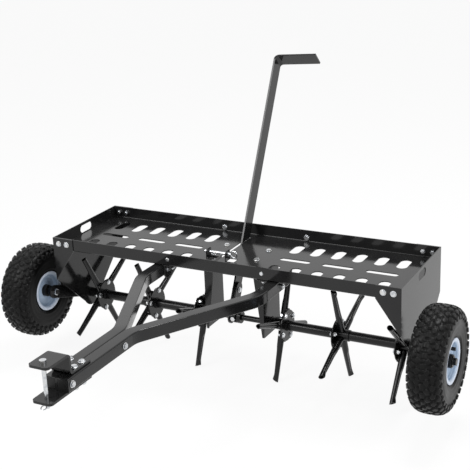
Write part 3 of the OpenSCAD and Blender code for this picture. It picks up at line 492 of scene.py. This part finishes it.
def tines(number, place, disc_side, first_turn):
    """Four tines of a wheel: set on the disc's side, each turned about the shaft a quarter further."""
    points, faces = joined(tine_parts())
    points = points * MM * [disc_side, 1, 1]
    wheel = []
    for turn in np.arange(4) * math.pi / 2 - first_turn:
        c, s = math.cos(turn), math.sin(turn)
        about_shaft = np.array([[1, 0, 0], [0, c, s], [0, -s, c]])
        wheel.append((points @ about_shaft + SHAFT + [place * MM, 0, 0], faces))
    piece = mesh_piece(f"spoon_tines_{number}", *joined(wheel), SATIN_BLACK, crease=40)
    stand_for(piece, f"tines_{number}")


for wheel_index, wheel_setting in enumerate(zip(WHEELS, DISC_SIDES, TURNS)):
    tines(wheel_index + 1, *wheel_setting)


# Drawbar tubes: ways along Y are counted forward from the shaft

TUBE_X, NOSE_X = 168, 15
TUBE_END_Y, KNEE_Y, FORK_Y, NOSE_Y = 72, 236, 568, 828
TAIL_RISE, NOSE_RISE = 172.5, 16.5
KNEE_CUT, FORK_CUT = 28, 20
TUBE_WIDTH, TUBE_CORNER = 30, 2.8
BORE_WIDTH, BORE_CORNER = 25, 1.2


def filleted_path(corners, radii, steps=9):
    """Path through corners, each inner one cut by a quadratic arc that starts its radius away."""
    corners = np.asarray(corners, float)
    parts = [corners[:1]]
    t = np.linspace(0, 1, steps)[:, None]
    for before, here, after, radius in zip(corners[:-2], corners[1:-1], corners[2:], radii):
        start = here + (before - here) / np.linalg.norm(before - here) * radius
        end = here + (after - here) / np.linalg.norm(after - here) * radius
        parts.append((1 - t) ** 2 * start + 2 * t * (1 - t) * here + t ** 2 * end)
    return np.concatenate([*parts, corners[-1:]])


def rounded_square(width, radius, steps=5):
    """Outline of a square with round corners, as (side, up) pairs."""
    a = np.radians(np.arange(4)[:, None] * 90 + np.linspace(0, 90, steps)[None, :]).ravel()
    quarter = np.repeat(np.array([[1, 1], [-1, 1], [-1, -1], [1, -1]]), steps, axis=0)
    return quarter * (width / 2 - radius) + radius * np.stack([np.cos(a), np.sin(a)], axis=1)


def swept(path, outline):
    """Rings of an outline carried along a path: side is across the run and level, up is square to both."""
    run = np.gradient(path, axis=0)
    run /= np.linalg.norm(run, axis=1, keepdims=True)
    side = np.cross(run, [0.0, 0.0, 1.0])
    side /= np.linalg.norm(side, axis=1, keepdims=True)
    up = np.cross(side, run)
    return path[:, None] + outline[None, :, :1] * side[:, None] + outline[None, :, 1:] * up[:, None]


def drawbar_tube(side, sign):
    """Square tube along its bent run: the outer skin one way and the bore back, joined at both ends."""
    shaft_y = SHAFT[1] / MM
    tail = SHAFT[2] / MM + TAIL_RISE
    nose = tail + NOSE_RISE
    corners = [(sign * TUBE_X, shaft_y - TUBE_END_Y, tail), (sign * TUBE_X, shaft_y - KNEE_Y, tail),
               (sign * NOSE_X, shaft_y - FORK_Y, nose), (sign * NOSE_X, shaft_y - NOSE_Y, nose)]
    path = filleted_path(corners, [KNEE_CUT, FORK_CUT]) * MM
    outer = swept(path, rounded_square(TUBE_WIDTH, TUBE_CORNER) * MM)
    bore = swept(path, rounded_square(BORE_WIDTH, BORE_CORNER) * MM)[::-1]
    piece = ring_piece(side + "_bent_tube", np.concatenate([outer, bore]), GLOSS_BLACK, crease=40)
    even_flats(piece)
    stand_for(piece, side + "_drawbar_tube")


drawbar_tube("left", -1)
drawbar_tube("right", 1)


# Sheet and bar with eased edges

EDGE_MM = {"black_paint": 0.7, "black_steel": 0.7, "zinc": 0.4, "bush": 0.6, "valve": 0.8}
HEAVY_BAR_MM = {"hitch_strap": 1.2, "hitch_plate": 1.2, "lift_lever": 1.2,
                "left_wheel_arm": 1.0, "right_wheel_arm": 1.0}
OWN_SHAPE = ("_tyre", "_rim", "_drawbar_tube")
FLAT_WITHIN = math.radians(0.6)
SHARP_OVER = math.radians(40)


def eased(node, width_mm):
    """Copy of a node with its flat faces joined up and every sharp edge rounded by width_mm."""
    mesh = NODES[node].data.copy()
    work = bmesh.new()
    work.from_mesh(mesh)
    bmesh.ops.remove_doubles(work, verts=work.verts, dist=MERGE)
    bmesh.ops.dissolve_limit(work, angle_limit=FLAT_WITHIN, verts=work.verts, edges=work.edges)
    work.to_mesh(mesh)
    work.free()
    mesh.polygons.foreach_set("use_smooth", np.ones(len(mesh.polygons), dtype=bool))
    piece = bpy.data.objects.new(node + "_eased", mesh)
    bpy.context.collection.objects.link(piece)
    bevel = piece.modifiers.new("eased_edges", "BEVEL")
    bevel.width = width_mm * MM
    bevel.segments = 2
    bevel.limit_method = "ANGLE"
    bevel.angle_limit = SHARP_OVER
    even_flats(piece)
    stand_for(piece, node)


for node_name in NODES:
    if not node_name.endswith(OWN_SHAPE) and not node_name.startswith("tines_"):
        eased(node_name, HEAVY_BAR_MM.get(node_name, EDGE_MM[SLOT_OF[node_name]]))


# Camera, light and floor

YAW, PITCH, ROLL = (math.radians(v) for v in (28.291, 19.192, -2.451))
FOCAL_PX, FRAME_PX = 1059.2, 470
SENSOR_MM = 36
CAMERA_FROM_SHAFT = [1.2618, -2.372303, 1.177622]
WORLD_LIGHT = 0.55
FLOOR_HALF = 12.0
FLOOR_GREY = 0.9
FLOOR_GLOW_SHARE = 0.9
WHITE = (1.0, 1.0, 1.0, 1.0)
TRAY_MIDDLE = (0, 0.2, 0.2)
TRAY_RIGHT = (0.4, 0.1, 0.3)


def place_camera():
    """Camera of the fitted view: forward from yaw and pitch, right and up turned by the roll."""
    forward = np.array([-math.sin(YAW) * math.cos(PITCH), math.cos(YAW) * math.cos(PITCH),
                        -math.sin(PITCH)])
    level = np.array([math.cos(YAW), math.sin(YAW), 0.0])
    upright = np.cross(level, forward)
    right = math.cos(ROLL) * level + math.sin(ROLL) * upright
    up = -math.sin(ROLL) * level + math.cos(ROLL) * upright
    data = bpy.data.cameras.new("photo_camera")
    data.lens = FOCAL_PX / FRAME_PX * SENSOR_MM
    data.sensor_width = SENSOR_MM
    camera = bpy.data.objects.new("photo_camera", data)
    bpy.context.collection.objects.link(camera)
    matrix = np.eye(4)
    matrix[:3] = np.stack([right, up, -forward, SHAFT + CAMERA_FROM_SHAFT], axis=1)
    camera.matrix_world = Matrix(matrix.tolist())
    bpy.context.scene.camera = camera


def area_light(name, place, target, size, watts):
    """Soft square lamp at place, turned to target."""
    data = bpy.data.lights.new(name, "AREA")
    data.size = size
    data.energy = watts
    lamp = bpy.data.objects.new(name, data)
    lamp.location = place
    lamp.rotation_euler = (Vector(target) - Vector(place)).to_track_quat("-Z", "Y").to_euler()
    bpy.context.collection.objects.link(lamp)


def any_ray(tree, first, *others):
    """1 for a ray of any of the named kinds, else 0: the largest of their Light Path marks."""
    path = add(tree, "ShaderNodeLightPath")
    mark = path.outputs[first]
    for kind in others:
        mark = add(tree, "ShaderNodeMath", {0: mark, 1: path.outputs[kind]},
                   operation="MAXIMUM").outputs[0]
    return mark


def white_world():
    """World that is white to the camera and to reflections, and softer as a light on the object."""
    world = bpy.data.worlds.new("white_studio")
    bpy.context.scene.world = world
    world.use_nodes = True
    tree = world.node_tree
    tree.nodes.clear()
    seen = any_ray(tree, "Is Camera Ray", "Is Glossy Ray", "Is Transmission Ray")
    strength = add(tree, "ShaderNodeMapRange", {"Value": seen}, {"To Min": WORLD_LIGHT, "To Max": 1.0})
    light = add(tree, "ShaderNodeBackground", {"Strength": strength.outputs["Result"]},
                {"Color": WHITE})
    add(tree, "ShaderNodeOutputWorld", {"Surface": light.outputs["Background"]})


def white_floor():
    """Floor that glows white to the camera and to reflections, with a matt share that keeps the shadow."""
    material = bpy.data.materials.new("white_floor")
    material.use_nodes = True
    tree = material.node_tree
    tree.nodes.clear()
    seen = any_ray(tree, "Is Camera Ray", "Is Glossy Ray")
    share = add(tree, "ShaderNodeMath", {0: seen}, {1: FLOOR_GLOW_SHARE}, operation="MULTIPLY")
    matt = add(tree, "ShaderNodeBsdfDiffuse",
               sockets={"Color": (FLOOR_GREY, FLOOR_GREY, FLOOR_GREY, 1.0)})
    glow = add(tree, "ShaderNodeEmission", sockets={"Color": WHITE, "Strength": 1.0})
    mix = add(tree, "ShaderNodeMixShader",
              {0: share.outputs[0], 1: matt.outputs[0], 2: glow.outputs[0]})
    add(tree, "ShaderNodeOutputMaterial", {"Surface": mix.outputs[0]})
    corners = np.array([[-1, -1, 0], [-1, 1, 0], [1, -1, 0], [1, 1, 0]]) * FLOOR_HALF
    floor = mesh_piece("white_floor", corners, grid_quads(2, 2), material, smooth=False)


place_camera()
white_world()
white_floor()
area_light("key_softbox", (-1.6, -1.8, 2.6), TRAY_MIDDLE, 1.6, 55)
area_light("fill_softbox", (2.4, -1.0, 1.8), TRAY_MIDDLE, 1.6, 18)
area_light("top_softbox", (0.5, 0.9, 2.9), TRAY_RIGHT, 0.9, 45)
bpy.context.scene.view_settings.view_transform = "Standard"
